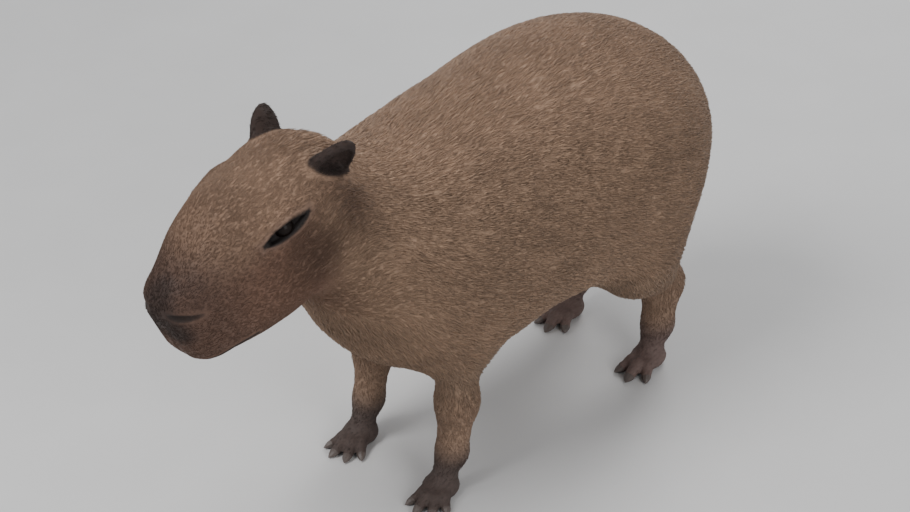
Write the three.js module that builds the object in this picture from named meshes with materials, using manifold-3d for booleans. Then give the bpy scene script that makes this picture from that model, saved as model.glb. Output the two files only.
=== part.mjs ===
// A life-size capybara standing on four feet, the right pair set a little back, in millimetres.
// +X is the animal's left, -Y its front and +Z up. The floor is z = 0.
// The flesh is a set of rounded masses that run into each other. Each named node is the skin of
// those masses, found by casting rays out from an axis, and the nodes meet with a thin gap.
import * as THREE from "three";
import { mergeVertices } from "three/addons/utils/BufferGeometryUtils.js";
import Module from "manifold-3d";

const wasm = await Module();
wasm.setup();

// Driving dimensions

const GAP = 0.35; // clear space left where two nodes meet
const SIDES = { left: 1, right: -1 };

const TRUNK = {
  rump: { y: 287, z: 396, rx: 198, ry: 232, rz: 192 },
  belly: { y: 105, z: 390, rx: 176, ry: 300, rz: 205 },
  chest: { y: -60, z: 360, rx: 158, ry: 180, rz: 172 },
  blend: 90,
};
const NECK = { y: -140, z: 411, baseRadius: 121, headS: 12, headU: -27, headRadius: 86, blend: 90 };
const HEAD = { y: -312, z: 570, pitch: 26, blend: 45 };
// Masses of the head: s runs forward along it and u is up across it, from the crown's centre.
const SKULL = {
  cranium: { x: 0, s: 10, u: -6, rx: 72, rs: 80, ru: 60 },
  cheek: { x: 34, s: 45, u: -45, rx: 40, rs: 85, ru: 55 },
  face: { x: 0, s: 103, u: -22, rx: 92, rs: 120, ru: 111 },
  muzzle: { s: 195, u: -17, halfX: 50, halfS: 66, halfU: 68, corner: 40 },
  chin: { x: 0, s: 166, u: -68, rx: 28, rs: 50, ru: 20 },
};
const FORELIMB = {
  start: { y: -92, z: 352 },
  mass: { x: 84, y: -92, z: 352, rx: 70, ry: 96, rz: 132 },
  upper: { x: 93, y: -84, z: 300, radius: 58 },
  joint: { x: 93, y: -84, z: 262, radius: 41 },
  hock: { x: 93, y: -86, z: 150, radius: 30 },
  ankle: { x: 94, y: -98, z: 66, radius: 22 },
  palm: { x: 92, y: -121, z: 13, rx: 27, ry: 29, rz: 16 },
  turn: { left: 19, right: -12 },
  step: { left: [0, 0], right: [0, 18] },
};
const HINDLIMB = {
  start: { y: 312, z: 332 },
  mass: { x: 98, y: 306, z: 332, rx: 88, ry: 108, rz: 142 },
  upper: { x: 106, y: 300, z: 263, radius: 75 },
  joint: { x: 108, y: 308, z: 225, radius: 57 },
  hock: { x: 103, y: 390, z: 144, radius: 33 },
  ankle: { x: 104, y: 384, z: 66, radius: 24 },
  palm: { x: 106, y: 360, z: 13, rx: 27, ry: 33, rz: 16 },
  turn: { left: 8, right: -10 },
  step: { left: [0, 0], right: [20, 26] },
};
// A foot is turned outwards by its turn, in degrees, and stands off its square place by its step,
// in x and y. The leg takes up the step between these two heights.
const STEP_FULL = 170;
const STEP_NONE = 330;
const LIMB_BLEND = { muscle: 40, shank: 24, foot: 14 };
const FOOT_TOP = 62; // the feet part from the legs at this height
// One row a toe: degrees turned outwards, reach from the palm's centre, and radius.
const FRONT_TOES = [
  [-34, 48, 8.5],
  [-12, 56, 9],
  [11, 56, 9],
  [33, 47, 8.5],
];
const HIND_TOES = [
  [-27, 50, 9.5],
  [0, 58, 10.5],
  [27, 50, 9.5],
];
// Shares of a toe's reach, or of its radius, at the root, the knuckle and the end.
const TOE = {
  out: [0.1, 0.62, 1],
  height: [1.3, 1.5, 0.74],
  thickness: [1.1, 1, 0.82],
  blend: 6,
};
const CLAW = {
  length: 12,
  tip: 3.5,
  base: 0.86,
  flatness: 0.85,
  run: [0, 0.35, 0.7, 1],
  widths: [1, 0.88, 0.64, 0.3],
  point: 3,
};
const EYE = {
  s: 71,
  u: 31,
  ball: 15,
  sink: 10,
  halfLength: 36,
  halfHeight: 8,
  slitDepth: 0.8,
  outward: 86,
  lookForward: 0.12,
  lookUp: 0.3,
  tilt: -11,
  lid: 13,
  lidLength: 42,
  lidHeight: 18,
};
// An ear is an oval flap, hollowed by a smaller oval that lies towards the way it faces.
const EAR = {
  x: 55,
  s: -26,
  u: 28,
  height: 66,
  halfWidth: 29,
  thickness: 14,
  hollow: 9,
  upward: [0.52, 0.43, 0.74],
  facing: [0.85, -0.2, -0.3],
  middle: 0.2,
  reach: 0.62,
  taper: 0.2,
  cup: [0.78, 0.8, 0.9],
};
const NOSTRIL = { s: 180, u: 20, turn: 32, spread: 17, rise: -7, width: 5 };
const MOUTH = {
  s: 182,
  u: -72,
  sweep: 92,
  fall: -6,
  lip: 7,
  lipDepth: 4,
  width: 3,
  slitOut: 2,
  cleftTop: -18,
  cleftWidths: [3.5, 3.5, 3, 2],
};

const GREY_BROWN = 0x9a7c66;
const material = (color, roughness = 0.9) =>
  new THREE.MeshStandardMaterial({ color, roughness, metalness: 0 });
const COAT = material(GREY_BROWN);
const BARE_SKIN = material(0x5f4d47);
const EAR_SKIN = material(0x4a3a35);
const HORN = material(0x4c4644, 0.6);
const EYEBALL = material(0x120d0b, 0.15);

// Rounded masses: each is a signed distance in millimetres, negative inside

const vec = (x, y, z) => new THREE.Vector3(x, y, z);

const softMin = (a, b, k) => {
  const h = Math.max(k - Math.abs(a - b), 0) / k;
  return Math.min(a, b) - (h * h * k) / 4;
};

const blend =
  (k, ...masses) =>
  (p) =>
    masses.reduce((d, mass) => softMin(d, mass(p), k), 1e6);

const ellipsoid = (x, y, z, rx, ry, rz) => (p) => {
  const a = (p.x - x) / rx;
  const b = (p.y - y) / ry;
  const c = (p.z - z) / rz;
  const k0 = Math.hypot(a, b, c);
  const k1 = Math.hypot(a / rx, b / ry, c / rz);
  return k1 > 1e-9 ? (k0 * (k0 - 1)) / k1 : -Math.min(rx, ry, rz);
};

const roundBox = (x, y, z, hx, hy, hz, r) => (p) => {
  const a = Math.abs(p.x - x) - hx + r;
  const b = Math.abs(p.y - y) - hy + r;
  const c = Math.abs(p.z - z) - hz + r;
  const outside = Math.hypot(Math.max(a, 0), Math.max(b, 0), Math.max(c, 0));
  return outside + Math.min(Math.max(a, b, c), 0) - r;
};

// A limb segment: a ball of radius ra at a, one of radius rb at b, and the cone between them.
const segment = (a, b, ra, rb) => {
  const ba = b.clone().sub(a);
  const l2 = ba.lengthSq();
  const rr = ra - rb;
  const a2 = l2 - rr * rr;
  return (p) => {
    const pa = p.clone().sub(a);
    const y = pa.dot(ba);
    const z = y - l2;
    const x2 = pa.multiplyScalar(l2).addScaledVector(ba, -y).lengthSq();
    const y2 = y * y * l2;
    const z2 = z * z * l2;
    const k = Math.sign(rr) * rr * rr * x2;
    if (Math.sign(z) * a2 * z2 > k) return Math.sqrt(x2 + z2) / l2 - rb;
    if (Math.sign(y) * a2 * y2 < k) return Math.sqrt(x2 + y2) / l2 - ra;
    return (Math.sqrt((x2 * a2) / l2) + y * rr) / l2 - ra;
  };
};

// The same mass on both sides of the body.
const bothSides = (mass) => (p) => mass(vec(Math.abs(p.x), p.y, p.z));

// The head's own frame

const pitch = THREE.MathUtils.degToRad(HEAD.pitch);
const HEAD_ORIGIN = vec(0, HEAD.y, HEAD.z);
const HEAD_FORWARD = vec(0, -Math.cos(pitch), -Math.sin(pitch));
const HEAD_UP = vec(0, -Math.sin(pitch), Math.cos(pitch));

const headPoint = (x, s, u) =>
  HEAD_ORIGIN.clone()
    .addScaledVector(HEAD_FORWARD, s)
    .addScaledVector(HEAD_UP, u)
    .add(vec(x, 0, 0));

const headDirection = (x, s, u) => headPoint(x, s, u).sub(HEAD_ORIGIN).normalize();

const inHead = (mass) => (p) => {
  const d = p.clone().sub(HEAD_ORIGIN);
  return mass(vec(d.x, d.dot(HEAD_FORWARD), d.dot(HEAD_UP)));
};

// The animal's masses

const oval = ({ x = 0, y, z, rx, ry, rz }) => ellipsoid(x, y, z, rx, ry, rz);
const skullOval = ({ x, s, u, rx, rs, ru }) => bothSides(ellipsoid(x, s, u, rx, rs, ru));

const trunk = blend(TRUNK.blend, oval(TRUNK.rump), oval(TRUNK.belly), oval(TRUNK.chest));

const box = SKULL.muzzle;
const skull = inHead(
  blend(
    HEAD.blend,
    skullOval(SKULL.cranium),
    skullOval(SKULL.cheek),
    skullOval(SKULL.face),
    roundBox(0, box.s, box.u, box.halfX, box.halfS, box.halfU, box.corner),
    skullOval(SKULL.chin),
  ),
);

const neck = segment(
  vec(0, NECK.y, NECK.z),
  headPoint(0, NECK.headS, NECK.headU),
  NECK.baseRadius,
  NECK.headRadius,
);

const body = blend(HEAD.blend, blend(NECK.blend, trunk, neck), skull);

const at = ({ x, y, z }, side) => vec(x * side, y, z);

// How far a leg's flesh lies off its square place at a height.
const stepAt = (limb, name, z) => {
  const share = 1 - THREE.MathUtils.smoothstep(z, STEP_FULL, STEP_NONE);
  const [x, y] = limb.step[name];
  return vec(x * share, y * share, 0);
};

const planted = (limb, name, place) =>
  at(place, SIDES[name]).add(stepAt(limb, name, place.z));

const limbMass = (limb, name) => {
  const side = SIDES[name];
  const { mass, upper, joint, hock, ankle, palm } = limb;
  const muscle = oval({ ...mass, x: mass.x * side });
  const thick = segment(at(upper, side), at(joint, side), upper.radius, joint.radius);
  const middle = segment(at(joint, side), at(hock, side), joint.radius, hock.radius);
  const thin = segment(at(hock, side), at(ankle, side), hock.radius, ankle.radius);
  const sole = oval({ ...palm, x: palm.x * side });
  const down = segment(at(ankle, side), at(palm, side), ankle.radius, palm.rz);
  const haunch = blend(LIMB_BLEND.muscle, muscle, thick, middle);
  const square = blend(LIMB_BLEND.foot, blend(LIMB_BLEND.shank, haunch, thin), down, sole);
  return (p) => square(p.clone().sub(stepAt(limb, name, p.z)));
};

// Surfaces: rays from an axis out to where the flesh ends

const RAY_REACH = 420;
const RAY_STEP = { share: 0.6, least: 1, most: 40 };
const BISECTIONS = 14;

const castRay = (flesh, origin, direction, level) => {
  const point = (t) => origin.clone().addScaledVector(direction, t);
  let inside = 0;
  let t = 0;
  while (t < RAY_REACH) {
    const depth = level - flesh(point(t));
    if (depth <= 0) break;
    inside = t;
    t += THREE.MathUtils.clamp(depth * RAY_STEP.share, RAY_STEP.least, RAY_STEP.most);
  }
  let outside = t;
  for (let i = 0; i < BISECTIONS; i++) {
    const middle = (inside + outside) / 2;
    if (flesh(point(middle)) < level) inside = middle;
    else outside = middle;
  }
  return point((inside + outside) / 2);
};

// Joins rings of equal size, with a point at each end, into one closed geometry.
const closedTube = (rings, first, last) => {
  const n = rings[0].length;
  const points = [...rings.flat(), first, last];
  const index = [];
  const a = points.length - 2;
  const b = points.length - 1;
  for (let j = 0; j < n; j++) {
    const k = (j + 1) % n;
    for (let i = 0; i + 1 < rings.length; i++) {
      const p = i * n;
      index.push(p + j, p + n + k, p + k, p + j, p + n + j, p + n + k);
    }
    const q = (rings.length - 1) * n;
    index.push(a, j, k, b, q + k, q + j);
  }
  return new THREE.BufferGeometry().setFromPoints(points).setIndex(index);
};

// A station is a centre, the way along the axis, and the degrees its rays lean that way.
const ringOf = (flesh, { centre, along, lean = 0 }, count, level) => {
  const across = Math.abs(along.x) > 0.9 ? vec(0, 1, 0) : vec(1, 0, 0);
  const up = across.clone().cross(along).normalize();
  const side = along.clone().cross(up).normalize();
  const tilt = THREE.MathUtils.degToRad(lean);
  return Array.from({ length: count }, (_, j) => {
    const a = (2 * Math.PI * j) / count;
    const direction = side
      .clone()
      .multiplyScalar(Math.cos(a) * Math.cos(tilt))
      .addScaledVector(up, Math.sin(a) * Math.cos(tilt))
      .addScaledVector(along, Math.sin(tilt));
    return castRay(flesh, centre, direction, level);
  });
};

const LEANS = [20, 38, 55, 72];

// The skin of flesh round a run of stations. A round end closes with a dome, a flat one with a face.
const skinOf = (flesh, stations, count, { roundStart, roundEnd, level = 0 }) => {
  const first = stations[0];
  const last = stations[stations.length - 1];
  const opening = roundStart ? [...LEANS].reverse().map((l) => ({ ...first, lean: -l })) : [];
  const closing = roundEnd ? LEANS.map((l) => ({ ...last, lean: l })) : [];
  const rings = [...opening, ...stations, ...closing].map((s) => ringOf(flesh, s, count, level));
  const back = first.along.clone().negate();
  const start = roundStart ? castRay(flesh, first.centre, back, level) : first.centre;
  const end = roundEnd ? castRay(flesh, last.centre, last.along, level) : last.centre;
  return closedTube(rings, start, end);
};

const stationsOn = (curve, count) =>
  Array.from({ length: count }, (_, i) => {
    const u = i / (count - 1);
    return { centre: curve.getPointAt(u), along: curve.getTangentAt(u) };
  });

const moved = (station, distance) => ({
  ...station,
  centre: station.centre.clone().addScaledVector(station.along, distance),
});

const BAR_CAP = 0.4; // how far a bar's end points stand out, as a share of its radius

// A round bar along a list of points, with its own radius at each and a point at either end.
const bar = (points, radii, sides = 8) => {
  const curve = new THREE.CatmullRomCurve3(points);
  const rings = points.map((centre, i) => {
    const before = points[Math.max(i - 1, 0)];
    const after = points[Math.min(i + 1, points.length - 1)];
    const along = after.clone().sub(before).normalize();
    const helper = Math.abs(along.z) > 0.9 ? vec(0, 1, 0) : vec(0, 0, 1);
    const side = along.clone().cross(helper).normalize();
    const up = side.clone().cross(along).normalize();
    return Array.from({ length: sides }, (_, j) => {
      const a = (2 * Math.PI * j) / sides;
      return centre
        .clone()
        .addScaledVector(side, radii[i] * Math.cos(a))
        .addScaledVector(up, radii[i] * Math.sin(a));
    });
  });
  const start = points[0].clone().addScaledVector(curve.getTangent(0), -radii[0] * BAR_CAP);
  const end = points
    .at(-1)
    .clone()
    .addScaledVector(curve.getTangent(1), radii.at(-1) * BAR_CAP);
  return closedTube(rings, start, end);
};

// Solids

const MERGE_DISTANCE = 1e-3;

const solidOf = (geometry) => {
  const bare = geometry.clone();
  bare.deleteAttribute("normal");
  bare.deleteAttribute("uv");
  const merged = mergeVertices(bare, MERGE_DISTANCE);
  return new wasm.Manifold(
    new wasm.Mesh({
      numProp: 3,
      vertProperties: merged.attributes.position.array,
      triVerts: new Uint32Array(merged.index.array),
    }),
  );
};

const largest = (solid) =>
  solid.decompose().reduce((best, piece) => (piece.volume() > best.volume() ? piece : best));

const group = new THREE.Group();

const addNode = (name, solid, finish) => {
  const data = largest(solid).getMesh();
  const geometry = new THREE.BufferGeometry()
    .setAttribute("position", new THREE.BufferAttribute(data.vertProperties, 3))
    .setIndex(new THREE.BufferAttribute(data.triVerts, 1));
  geometry.computeVertexNormals();
  const mesh = new THREE.Mesh(geometry, finish);
  mesh.name = name;
  group.add(mesh);
};

// Trunk, neck and head: three stretches of one spine

// One row a point: y, z and the degrees by which the spine rises towards the head.
const SPINE_ROWS = [
  [345, 385, 0],
  [105, 385, 0],
  [-50, 388, 8],
  [-140, 410, 20],
  [-200, 450, 26],
  [-250, 494, 25],
  [-300, 530, 15],
  [-362, 517, -10],
  [-452, 469, -26],
];
const TRUNK_END = 4; // the row where the trunk meets the neck
const NECK_END = 6; // and the one where the neck meets the head
const TRUNK_SIDES = 32;
const NECK_SIDES = 32;
const HEAD_SIDES = 36;
const TRUNK_RINGS = 19;
const NECK_RINGS = 8;
const HEAD_RINGS = 15;

const spine = new THREE.CatmullRomCurve3(SPINE_ROWS.map(([y, z, rise]) => vec(rise, y, z)));

const spineStations = (from, to, count) =>
  Array.from({ length: count }, (_, i) => {
    const row = from + ((to - from) * i) / (count - 1);
    const { x, y, z } = spine.getPoint(row / (SPINE_ROWS.length - 1));
    const rise = THREE.MathUtils.degToRad(x);
    return { centre: vec(0, y, z), along: vec(0, -Math.cos(rise), Math.sin(rise)) };
  });

const trunkStations = spineStations(0, TRUNK_END, TRUNK_RINGS);
const neckStations = spineStations(TRUNK_END, NECK_END, NECK_RINGS);
neckStations[0] = moved(neckStations[0], GAP);
const headStations = spineStations(NECK_END, SPINE_ROWS.length - 1, HEAD_RINGS);
headStations[0] = moved(headStations[0], GAP);

const trunkSkin = (level) =>
  solidOf(skinOf(body, trunkStations, TRUNK_SIDES, { roundStart: true, level }));
const neckSkin = (level) => solidOf(skinOf(body, neckStations, NECK_SIDES, { level }));
const headSkin = (level) =>
  solidOf(skinOf(body, headStations, HEAD_SIDES, { roundEnd: true, level }));

addNode("torso", trunkSkin(0), COAT);
addNode("neck", neckSkin(0), COAT);

// Eyes, ears, nostrils and mouth

const BALL_SIDES = 20;
const EAR_SIDES = 24;

const ball = (centre, scale, turn = new THREE.Quaternion()) =>
  solidOf(
    new THREE.SphereGeometry(1, BALL_SIDES, Math.round(BALL_SIDES * 0.6)).applyMatrix4(
      new THREE.Matrix4().compose(centre, turn, scale),
    ),
  );

const round = (radius) => vec(radius, radius, radius);

// The turn that takes X, Y and Z to three directions at right angles.
const turnTo = (x, y, z) =>
  new THREE.Quaternion().setFromRotationMatrix(new THREE.Matrix4().makeBasis(x, y, z));

// Where a ray from inside the head, at (0, s, u) and turned outwards by some degrees, leaves it.
const faceRay = (s, u, degrees, level = 0) => {
  const a = THREE.MathUtils.degToRad(degrees);
  return castRay(skull, headPoint(0, s, u), headDirection(Math.sin(a), Math.cos(a), 0), level);
};

const eyeCentre = (side) => faceRay(EYE.s, EYE.u, EYE.outward * side, -EYE.sink);

// The way the eye looks, and the two ways across it: along the slit and up.
const eyeFrame = (side) => {
  const tilt = THREE.MathUtils.degToRad(EYE.tilt);
  const out = headDirection(side, EYE.lookForward, EYE.lookUp);
  const along = headDirection(0, Math.cos(tilt), -Math.sin(tilt));
  along.addScaledVector(out, -along.dot(out)).normalize();
  return { out, along, up: out.clone().cross(along).multiplyScalar(side) };
};

const eyeTurn = (side) => {
  const { out, along, up } = eyeFrame(side);
  return turnTo(along.multiplyScalar(side), up, out);
};

// The lids are a swelling over the eyeball, cut open by a long narrow almond.
const lids = (side) => ball(eyeCentre(side), vec(EYE.lidLength, EYE.lidHeight, EYE.lid), eyeTurn(side));

const eyeSlit = (side) =>
  ball(
    eyeCentre(side).addScaledVector(eyeFrame(side).out, EYE.ball * EYE.slitDepth),
    vec(EYE.halfLength, EYE.halfHeight, EYE.ball * EYE.slitDepth),
    eyeTurn(side),
  );

const MOUTH_POINTS = 17;
const END_TAPER = 0.6; // how much thinner the ends of the lips are than their middle

const mouthLine = (level) =>
  Array.from({ length: MOUTH_POINTS }, (_, i) => {
    const share = (2 * i) / (MOUTH_POINTS - 1) - 1;
    return faceRay(MOUTH.s, MOUTH.u + MOUTH.fall * share ** 2, share * MOUTH.sweep, level);
  });

const taper = (count, middle) =>
  Array.from({ length: count }, (_, i) => {
    const share = (2 * i) / (count - 1) - 1;
    return middle * (1 - END_TAPER * share ** 4);
  });

const lips = mouthLine(-MOUTH.lipDepth);
const slit = mouthLine(MOUTH.slitOut);
// The cleft runs from the mouth up to the nose and grows shallower on its way.
const cleft = MOUTH.cleftWidths.map((width, i, { length }) => {
  const share = i / (length - 1);
  return faceRay(MOUTH.s, THREE.MathUtils.lerp(MOUTH.u + width, MOUTH.cleftTop, share), 0, 1.5 - share);
});

// One row a point of a nostril's slot: its place from the middle, and its share of the width.
const NOSTRIL_SHARES = [
  [-1, 0.4],
  [-0.3, 1],
  [0.4, 0.8],
  [1, 0.35],
];

const nostril = (side) => {
  const line = NOSTRIL_SHARES.map(([share]) =>
    faceRay(NOSTRIL.s, NOSTRIL.u + share * NOSTRIL.rise, side * (NOSTRIL.turn + share * NOSTRIL.spread)),
  );
  const radii = NOSTRIL_SHARES.map(([, width]) => width * NOSTRIL.width);
  return solidOf(bar(line, radii));
};

const GROOVE_SIDES = 6;

let head = headSkin(0).add(solidOf(bar(lips, taper(lips.length, MOUTH.lip))));
head = head.subtract(solidOf(bar(slit, taper(slit.length, MOUTH.width), GROOVE_SIDES)));
head = head.subtract(solidOf(bar(cleft, MOUTH.cleftWidths, GROOVE_SIDES)));
for (const side of Object.values(SIDES)) {
  head = head.add(lids(side));
  head = head.subtract(ball(eyeCentre(side), round(EYE.ball + GAP)));
  head = head.subtract(eyeSlit(side));
  head = head.subtract(nostril(side));
}

const headHull = headSkin(GAP);
const neckHull = neckSkin(GAP);
const trunkHull = trunkSkin(GAP);
addNode("head", head.subtract(neckHull), COAT);

// An oval that grows narrower towards its tip, on +Y before the turn.
const flapSolid = (centre, scale, turn) => {
  const geometry = new THREE.SphereGeometry(1, EAR_SIDES, Math.round(EAR_SIDES * 0.6));
  const place = geometry.attributes.position;
  for (let i = 0; i < place.count; i++) {
    place.setX(i, place.getX(i) * (1 - EAR.taper * place.getY(i)));
  }
  return solidOf(geometry.applyMatrix4(new THREE.Matrix4().compose(centre, turn, scale)));
};

for (const [name, side] of Object.entries(SIDES)) {
  addNode("eye_" + name, ball(eyeCentre(side), round(EYE.ball)), EYEBALL);
  const root = headPoint(EAR.x * side, EAR.s, EAR.u);
  const mirrored = ([x, y, z]) => vec(x * side, y, z);
  const upward = mirrored(EAR.upward).normalize();
  const facing = mirrored(EAR.facing);
  facing.addScaledVector(upward, -facing.dot(upward)).normalize();
  const turn = turnTo(upward.clone().cross(facing), upward, facing);
  const middle = root.clone().addScaledVector(upward, EAR.height * EAR.middle);
  const flap = vec(EAR.halfWidth, EAR.height * EAR.reach, EAR.thickness);
  const cup = flap.clone().multiply(vec(...EAR.cup));
  const outer = flapSolid(middle, flap, turn);
  const hollow = flapSolid(middle.clone().addScaledVector(facing, EAR.hollow), cup, turn);
  addNode("ear_" + name, outer.subtract(hollow).subtract(headHull).subtract(neckHull), EAR_SKIN);
}

// Legs, feet and claws

const BLOCK = 2000; // larger than the animal
const blockBelow = (z) =>
  solidOf(new THREE.BoxGeometry(BLOCK, BLOCK, BLOCK).translate(0, 0, z - BLOCK / 2));
const blockAbove = (z) =>
  solidOf(new THREE.BoxGeometry(BLOCK, BLOCK, BLOCK).translate(0, 0, z + BLOCK / 2));
const FLOOR = blockBelow(0);
const DOWN = vec(0, 0, -1);
const LEG_SIDES = 18;
const LEG_RINGS = 11;
const FOOT_SIDES = 16;
const FOOT_RINGS = 4;
const TOE_SIDES = 8;
const TOE_RINGS = 5;
const INSTEP = 8; // the foot's axis ends this far above the palm's centre

const legStations = (limb, name) => {
  const { mass, start, joint, hock, ankle } = limb;
  const top = { x: mass.x, ...start };
  const end = { ...ankle, z: FOOT_TOP + GAP };
  const curve = new THREE.CatmullRomCurve3(
    [top, joint, hock, end].map((place) => planted(limb, name, place)),
  );
  const stations = stationsOn(curve, LEG_RINGS);
  stations.at(-1).along = DOWN.clone();
  return stations;
};

const toeOf = (limb, name, [turn, reach, radius]) => {
  const palm = planted(limb, name, limb.palm);
  const a = THREE.MathUtils.degToRad(turn + limb.turn[name]);
  const out = vec(Math.sin(a) * SIDES[name], -Math.cos(a), 0);
  const [root, knuckle, end] = TOE.out.map((share, i) =>
    palm
      .clone()
      .setZ(radius * TOE.height[i])
      .addScaledVector(out, reach * share),
  );
  const tip = end.clone().addScaledVector(out, CLAW.length).setZ(CLAW.tip);
  const along = tip.clone().sub(end).normalize();
  return { root, knuckle, end, tip, along, radius };
};

const toeSkin = ({ root, knuckle, end, along, radius }) => {
  const [thick, middle, thin] = TOE.thickness.map((share) => radius * share);
  const inner = segment(root, knuckle, thick, middle);
  const outer = segment(knuckle, end, middle, thin);
  const flesh = blend(TOE.blend, inner, outer);
  const curve = new THREE.CatmullRomCurve3([root, knuckle, end]);
  const stations = stationsOn(curve, TOE_RINGS);
  stations.at(-1).along = along;
  return skinOf(flesh, stations, TOE_SIDES, { roundStart: true });
};

const clawSkin = ({ end, tip, along, radius }) => {
  const base = radius * CLAW.base;
  const axis = (share) => end.clone().addScaledVector(tip.clone().sub(end), share);
  const side = along.clone().cross(vec(0, 0, 1)).normalize();
  const up = side.clone().cross(along).normalize();
  const rings = CLAW.run.map((share, i) =>
    Array.from({ length: TOE_SIDES }, (_, j) => {
      const a = (2 * Math.PI * j) / TOE_SIDES;
      return axis(share)
        .addScaledVector(along, GAP)
        .addScaledVector(side, base * CLAW.widths[i] * Math.cos(a))
        .addScaledVector(up, base * CLAW.widths[i] * CLAW.flatness * Math.sin(a));
    }),
  );
  const start = axis(0).addScaledVector(along, GAP);
  return closedTube(rings, start, axis(1).addScaledVector(along, CLAW.point));
};

const makeLimb = (label, limb, toes, name) => {
  const flesh = limbMass(limb, name);
  const stations = legStations(limb, name);
  const leg = solidOf(skinOf(flesh, stations, LEG_SIDES, { roundStart: true }));
  const free = leg.subtract(trunkHull).subtract(neckHull).subtract(blockBelow(FOOT_TOP + GAP));
  addNode(`${label}_leg_${name}`, free, COAT);

  const curve = new THREE.CatmullRomCurve3([
    planted(limb, name, { ...limb.ankle, z: FOOT_TOP }),
    planted(limb, name, { ...limb.palm, z: limb.palm.z + INSTEP }),
  ]);
  const footStations = stationsOn(curve, FOOT_RINGS);
  footStations[0].along = DOWN.clone();
  let foot = solidOf(skinOf(flesh, footStations, FOOT_SIDES, { roundEnd: true }));
  toes.forEach((row, i) => {
    const toe = toeOf(limb, name, row);
    foot = foot.add(solidOf(toeSkin(toe)));
    const claw = solidOf(clawSkin(toe)).subtract(FLOOR);
    addNode(`${label}_claw_${name}_${i + 1}`, claw, HORN);
  });
  addNode(`${label}_foot_${name}`, foot.subtract(FLOOR).subtract(blockAbove(FOOT_TOP)), BARE_SKIN);
};

for (const name of Object.keys(SIDES)) {
  makeLimb("front", FORELIMB, FRONT_TOES, name);
  makeLimb("hind", HINDLIMB, HIND_TOES, name);
}

// The origin is under the middle of the animal's length.
const middleY = new THREE.Box3().setFromObject(group).getCenter(vec(0, 0, 0)).y;
group.position.y = -middleY;
group.updateMatrixWorld(true);

export default group;
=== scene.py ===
"""A life-size capybara: one skin over the flesh, a coat of fine tufts, dark eyes and horn claws.

Lengths of the body are in millimetres, as in the CAD, and Blender's objects are in metres. In the head's
frame x is across, s runs forward from the crown's centre and u runs up from it.
"""
import math

import bmesh
import bpy
import numpy as np
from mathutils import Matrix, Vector


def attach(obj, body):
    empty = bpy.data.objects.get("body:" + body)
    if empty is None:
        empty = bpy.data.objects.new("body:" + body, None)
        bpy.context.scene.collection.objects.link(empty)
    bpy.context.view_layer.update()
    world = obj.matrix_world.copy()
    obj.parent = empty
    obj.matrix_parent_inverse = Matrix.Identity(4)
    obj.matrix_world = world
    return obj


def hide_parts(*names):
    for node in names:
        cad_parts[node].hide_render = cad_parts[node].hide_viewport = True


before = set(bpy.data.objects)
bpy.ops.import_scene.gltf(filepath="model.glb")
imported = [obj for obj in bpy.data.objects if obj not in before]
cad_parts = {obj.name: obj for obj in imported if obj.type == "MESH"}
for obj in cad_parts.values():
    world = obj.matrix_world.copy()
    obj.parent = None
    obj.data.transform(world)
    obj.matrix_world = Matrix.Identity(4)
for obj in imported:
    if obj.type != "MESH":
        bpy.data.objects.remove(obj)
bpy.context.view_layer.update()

rng = np.random.default_rng(11)

# The body's masses, in its own frame: +X left, -Y front, +Z up, before the CAD's move to its origin

MOVE_Y = 18.4094  # how far back the CAD moves the body
TRUNK = [
    ((0, 287, 396), (198, 232, 192)),
    ((0, 105, 390), (176, 300, 205)),
    ((0, -60, 360), (158, 180, 172)),
]
TRUNK_BLEND = 90
HEAD_BLEND = 45
HEAD_ORIGIN = np.array([0, -312.0, 570.0])
HEAD_PITCH = math.radians(26)
HEAD_FORWARD = np.array([0, -math.cos(HEAD_PITCH), -math.sin(HEAD_PITCH)])
HEAD_UP = np.array([0, -math.sin(HEAD_PITCH), math.cos(HEAD_PITCH)])
NECK_BASE, NECK_BASE_R = (0, -140, 411), 121
NECK_HEAD, NECK_HEAD_R = (0, 12, -27), 86  # in the head's frame
# Head masses: across, forward and up from the crown's centre.
SKULL = [
    ((0, 10, -6), (72, 80, 60)),
    ((34, 45, -45), (40, 85, 55)),
    ((0, 103, -22), (92, 120, 111)),
]
MUZZLE = ((0, 195, -17), (50, 66, 68), 40)
CHIN = ((0, 166, -68), (28, 50, 20))
FRONT_LIMB = dict(
    mass=((84, -92, 352), (70, 96, 132)),
    points=[(93, -84, 300), (93, -84, 262), (93, -86, 150), (94, -98, 66), (92, -121, 13)],
    radii=[58, 41, 30, 22, 16],
    palm=(27, 29, 16),
    toes=[(-34, 48, 8.5), (-12, 56, 9), (11, 56, 9), (33, 47, 8.5)],
    turn={"left": 19, "right": -12},
    right_step=(0, 18),
    body_blend=34,
    span=(-260, 60),
)
HIND_LIMB = dict(
    mass=((98, 306, 332), (88, 108, 142)),
    points=[(106, 300, 263), (108, 308, 225), (103, 390, 144), (104, 384, 66), (106, 360, 13)],
    radii=[75, 57, 33, 24, 16],
    palm=(27, 33, 16),
    toes=[(-27, 50, 9.5), (0, 58, 10.5), (27, 50, 9.5)],
    turn={"left": 8, "right": -10},
    right_step=(20, 26),
    body_blend=40,
    span=(130, math.inf),
)
HIND_FROM = 130  # a foot behind this is a hind foot
LIMB_BLENDS = (40, 40, 24, 14)  # at the upper leg, the joint, the hock and the ankle
PALM_BLEND = 14
TOE_PLACES = ((0.1, 1.3), (0.62, 1.5), (1, 0.74))  # share of a toe's reach, height in its radii
TOE_ROOT, TOE_TIP = 1.1, 0.82  # in its radii
TOE_BLEND, WEB_BLEND, TOES_BLEND = 6, 5, 8
TOES_BELOW = 70
STEP_FULL, STEP_NONE = 170, 330  # a right leg takes up its foot's step between these heights
STEP_MIDDLE = (5, 45)  # and between these distances from the middle
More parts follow.
